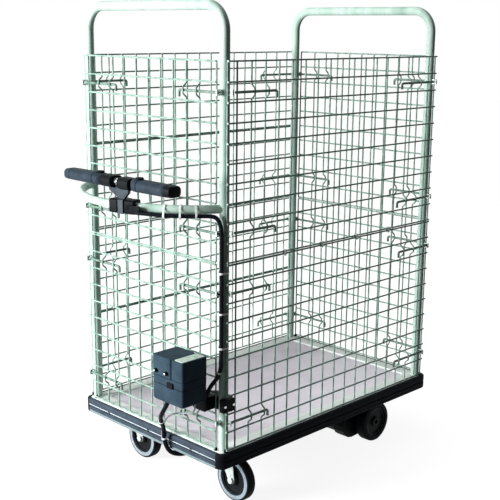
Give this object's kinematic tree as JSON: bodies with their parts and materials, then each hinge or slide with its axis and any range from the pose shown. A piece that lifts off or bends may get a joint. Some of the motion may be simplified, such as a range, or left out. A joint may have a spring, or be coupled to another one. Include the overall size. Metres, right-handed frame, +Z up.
{
  "type": "power-assisted cage cart",
  "caption": "Power-assisted platform cart with weld-mesh sides, folding side gate with slide bolts, bow handle with sensing grips, battery box, swivel casters and motor wheels.",
  "frame": {"origin": "centre of the bounding box, on the floor under the wheels", "axes": "+X points from the operator's handle to the far end, +Y across the cart away from the gate side, +Z up"},
  "size_m": [1.07, 0.6072, 1.3407],
  "materials": {
    "zinc_wire": "bright zinc-plated welded wire",
    "zinc_tube": "bright zinc-plated round tube",
    "zinc_pressing": "bright zinc-plated pressing",
    "deck_resin": "pale grey moulded deck, lightly grained",
    "bumper_rubber": "black rubber, satin",
    "caster_tyre": "grey solid tyre",
    "drive_tyre": "black solid tyre",
    "hub_plastic": "black moulded wheel core",
    "drive_black": "black painted steel",
    "grip_slate": "slate grey soft grip",
    "black_plastic": "black moulded plastic",
    "bright_alloy": "bright machined alloy",
    "box_slate": "slate grey moulded housing",
    "plate_pale": "pale blank plate",
    "cable_black": "black cable jacket",
    "cable_grey": "grey cable jacket",
    "tie_white": "white nylon"
  },
  "bodies": {
    "cart": {"bolt_keepers": "zinc_wire", "bow_handle": "zinc_tube", "box_arm": "black_plastic", "bumper": "bumper_rubber", "bumper_screws": "zinc_pressing", "cable_glands": "black_plastic", "cable_ties": "tie_white", "caster_plates": "zinc_pressing", "control_box": "box_slate", "deck": "deck_resin", "deck_channels": "zinc_pressing", "drive_brackets": "drive_black", "far_lower_panel": "zinc_wire", "far_upper_panel": "zinc_wire", "front_frame": "zinc_tube", "front_lower_panel": "zinc_wire", "front_upper_panel": "zinc_wire", "gear_motors": "drive_black", "grip_collars": "black_plastic", "grip_pins": "black_plastic", "handle_bracket": "bright_alloy", "handle_core": "bright_alloy", "handle_loom": "cable_black", "hex_bolts": "zinc_pressing", "hinge_rings": "zinc_wire", "indicator_plate": "plate_pale", "near_lower_panel": "zinc_wire", "power_conduit": "cable_black", "rear_frame": "zinc_tube", "rear_lower_panel": "zinc_wire", "rear_upper_panel": "zinc_wire", "signal_lead": "cable_grey", "tube_clamps": "black_plastic", "wall_bolts": "zinc_wire"},
    "gate": {"near_gate": "zinc_wire"},
    "near_swivel": {"near_caster_fork": "zinc_pressing", "near_caster_axle": "zinc_pressing"},
    "far_swivel": {"far_caster_fork": "zinc_pressing", "far_caster_axle": "zinc_pressing"},
    "near_caster_wheel": {"near_caster_tyre": "caster_tyre", "near_caster_hub": "hub_plastic"},
    "far_caster_wheel": {"far_caster_tyre": "caster_tyre", "far_caster_hub": "hub_plastic"},
    "near_drive_wheel": {"near_drive_tyre": "drive_tyre", "near_drive_hub": "hub_plastic"},
    "far_drive_wheel": {"far_drive_tyre": "drive_tyre", "far_drive_hub": "hub_plastic"},
    "left_grip": {"grip_left": "grip_slate"},
    "right_grip": {"grip_right": "grip_slate"},
    "lever": {"clamp_lever": "black_plastic"},
    "battery": {"battery_pack": "black_plastic"},
    "latch": {"battery_latch": "black_plastic"},
    "gate_bolt_low_rear": {"gate_bolt_low_rear": "zinc_wire"},
    "gate_bolt_low_front": {"gate_bolt_low_front": "zinc_wire"},
    "gate_bolt_high_rear": {"gate_bolt_high_rear": "zinc_wire"},
    "gate_bolt_high_front": {"gate_bolt_high_front": "zinc_wire"},
    "panel_bolt_low_rear": {"panel_bolt_low_rear": "zinc_wire"},
    "panel_bolt_low_front": {"panel_bolt_low_front": "zinc_wire"},
    "panel_bolt_high_rear": {"panel_bolt_high_rear": "zinc_wire"},
    "panel_bolt_high_front": {"panel_bolt_high_front": "zinc_wire"}
  },
  "joints": [
    {"name": "gate_fold", "type": "hinge", "parent": "cart", "child": "gate", "pos_m": [0.076, -0.2938, 0.696], "axis": [1, 0, 0], "range_deg": [0, 160]},
    {"name": "gate_bolt_low_rear_slide", "type": "slide", "parent": "gate", "child": "gate_bolt_low_rear", "axis": [-1, 0, 0], "range_m": [0, 0.018]},
    {"name": "gate_bolt_low_front_slide", "type": "slide", "parent": "gate", "child": "gate_bolt_low_front", "axis": [1, 0, 0], "range_m": [0, 0.018]},
    {"name": "gate_bolt_high_rear_slide", "type": "slide", "parent": "gate", "child": "gate_bolt_high_rear", "axis": [-1, 0, 0], "range_m": [0, 0.018]},
    {"name": "gate_bolt_high_front_slide", "type": "slide", "parent": "gate", "child": "gate_bolt_high_front", "axis": [1, 0, 0], "range_m": [0, 0.018]},
    {"name": "panel_bolt_low_rear_slide", "type": "slide", "parent": "cart", "child": "panel_bolt_low_rear", "axis": [1, 0, 0], "range_m": [0, 0.018]},
    {"name": "panel_bolt_low_front_slide", "type": "slide", "parent": "cart", "child": "panel_bolt_low_front", "axis": [-1, 0, 0], "range_m": [0, 0.018]},
    {"name": "panel_bolt_high_rear_slide", "type": "slide", "parent": "cart", "child": "panel_bolt_high_rear", "axis": [1, 0, 0], "range_m": [0, 0.018]},
    {"name": "panel_bolt_high_front_slide", "type": "slide", "parent": "cart", "child": "panel_bolt_high_front", "axis": [-1, 0, 0], "range_m": [0, 0.018]},
    {"name": "near_caster_swivel", "type": "hinge", "parent": "cart", "child": "near_swivel", "pos_m": [-0.264, -0.197, 0.14], "axis": [0, 0, 1], "continuous": true},
    {"name": "near_caster_roll", "type": "hinge", "parent": "near_swivel", "child": "near_caster_wheel", "pos_m": [-0.264, -0.235, 0.0625], "axis": [1, 0, 0], "continuous": true},
    {"name": "far_caster_swivel", "type": "hinge", "parent": "cart", "child": "far_swivel", "pos_m": [-0.264, 0.197, 0.14], "axis": [0, 0, 1], "continuous": true},
    {"name": "far_caster_roll", "type": "hinge", "parent": "far_swivel", "child": "far_caster_wheel", "pos_m": [-0.264, 0.159, 0.0625], "axis": [1, 0, 0], "continuous": true},
    {"name": "near_drive_roll", "type": "hinge", "parent": "cart", "child": "near_drive_wheel", "pos_m": [0.334, -0.238, 0.0625], "axis": [0, 1, 0], "continuous": true},
    {"name": "far_drive_roll", "type": "hinge", "parent": "cart", "child": "far_drive_wheel", "pos_m": [0.334, 0.238, 0.0625], "axis": [0, 1, 0], "continuous": true},
    {"name": "left_grip_sense", "type": "hinge", "parent": "cart", "child": "left_grip", "pos_m": [-0.513, 0.019, 0.8916], "axis": [0, 0, 1], "range_deg": [-4, 4], "stiffness_Nm_per_rad": 15},
    {"name": "right_grip_sense", "type": "hinge", "parent": "cart", "child": "right_grip", "pos_m": [-0.513, -0.141, 0.8916], "axis": [0, 0, 1], "range_deg": [-4, 4], "stiffness_Nm_per_rad": 15},
    {"name": "clamp_lever_turn", "type": "hinge", "parent": "cart", "child": "lever", "pos_m": [-0.50092, -0.0955, 0.8316], "axis": [0.9514, 0.3081, 0], "range_deg": [0, 90]},
    {"name": "battery_lift", "type": "slide", "parent": "cart", "child": "battery", "axis": [0, 0, 1], "range_m": [0, 0.09]},
    {"name": "battery_latch_press", "type": "slide", "parent": "cart", "child": "latch", "axis": [0, 0, -1], "range_m": [0, 0.004], "stiffness_N_per_m": 200}
  ]
}
